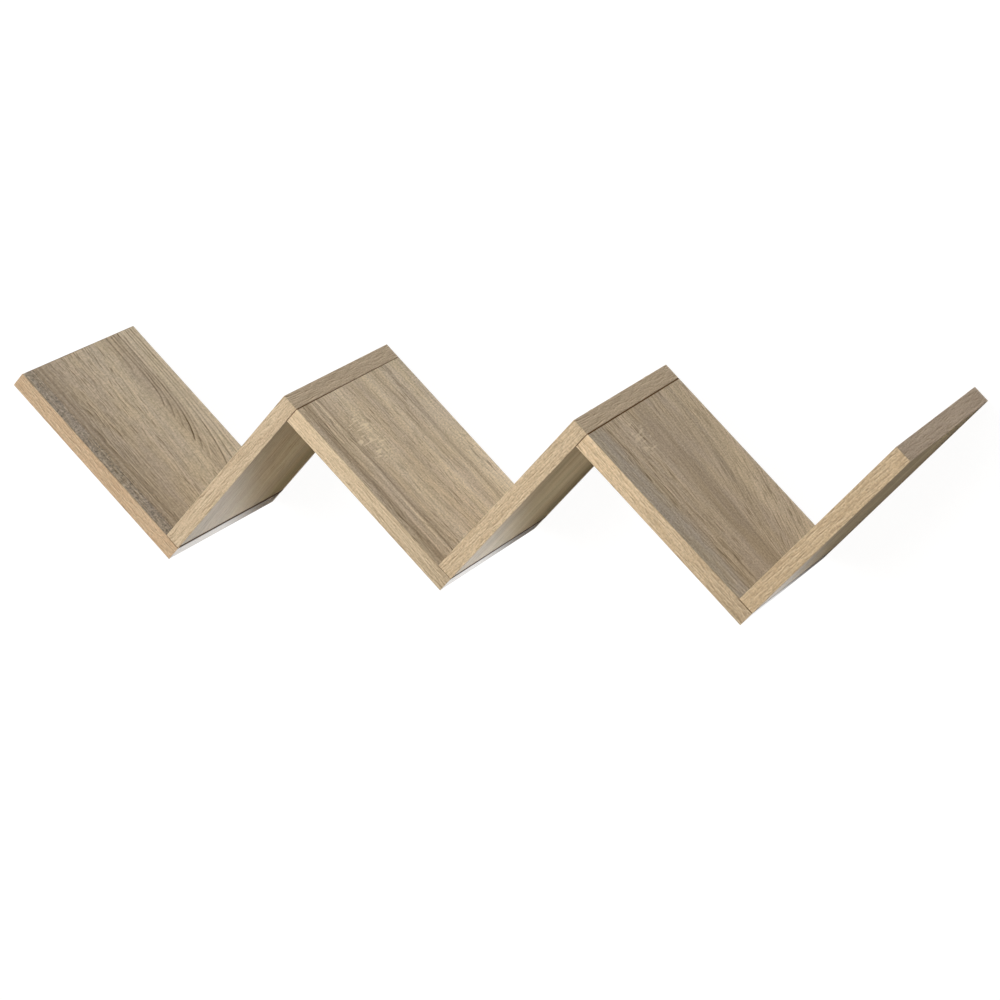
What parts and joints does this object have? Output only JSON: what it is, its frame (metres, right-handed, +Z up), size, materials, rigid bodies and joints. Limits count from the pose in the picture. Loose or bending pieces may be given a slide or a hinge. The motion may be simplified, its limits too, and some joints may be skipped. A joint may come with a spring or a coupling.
{
  "type": "floating wall shelf",
  "caption": "Zigzag floating wall shelf of oak-faced boards butt-jointed at right angles into open valleys, with banded edges, hidden corner screws and keyhole hangers.",
  "frame": {"origin": "on the wall plane, at mid width, in the middle of the corner of the middle valley", "axes": "+X along the wall to the right, +Y towards the wall, +Z up"},
  "size_m": [0.8712, 0.175, 0.164],
  "materials": {
    "oak_faced_board": "satin grey-brown oak decor on melamine-faced particle board, raw at the back edge",
    "front_band": "satin light tan oak edge band",
    "end_band": "satin grey-brown oak edge band",
    "zinc_screw": "bright zinc plate",
    "beech_dowel": "raw beech",
    "cap_plastic": "matt moulded plastic in the board's colour",
    "hanger_steel": "zinc-plated sheet steel"
  },
  "bodies": {
    "root": {"falling_board_1": "oak_faced_board", "rising_board_1": "oak_faced_board", "falling_board_2": "oak_faced_board", "rising_board_2": "oak_faced_board", "falling_board_3": "oak_faced_board", "rising_board_3": "oak_faced_board", "falling_board_1_front_band": "front_band", "rising_board_1_front_band": "front_band", "falling_board_2_front_band": "front_band", "rising_board_2_front_band": "front_band", "falling_board_3_front_band": "front_band", "rising_board_3_front_band": "front_band", "falling_board_1_tip_band": "end_band", "rising_board_1_tip_band": "end_band", "falling_board_2_tip_band": "end_band", "rising_board_2_tip_band": "end_band", "falling_board_3_tip_band": "end_band", "rising_board_3_tip_band": "end_band", "falling_board_1_upper_end_band": "end_band", "corner_1_screws": "zinc_screw", "corner_2_screws": "zinc_screw", "corner_3_screws": "zinc_screw", "corner_4_screws": "zinc_screw", "corner_5_screws": "zinc_screw", "keyhole_plate_1_screws": "zinc_screw", "keyhole_plate_2_screws": "zinc_screw", "keyhole_plate_3_screws": "zinc_screw", "corner_1_dowels": "beech_dowel", "corner_2_dowels": "beech_dowel", "corner_3_dowels": "beech_dowel", "corner_4_dowels": "beech_dowel", "corner_5_dowels": "beech_dowel", "corner_1_cover_caps": "cap_plastic", "corner_2_cover_caps": "cap_plastic", "corner_3_cover_caps": "cap_plastic", "corner_4_cover_caps": "cap_plastic", "corner_5_cover_caps": "cap_plastic", "keyhole_plate_1": "hanger_steel", "keyhole_plate_2": "hanger_steel", "keyhole_plate_3": "hanger_steel"}
  },
  "joints": []
}
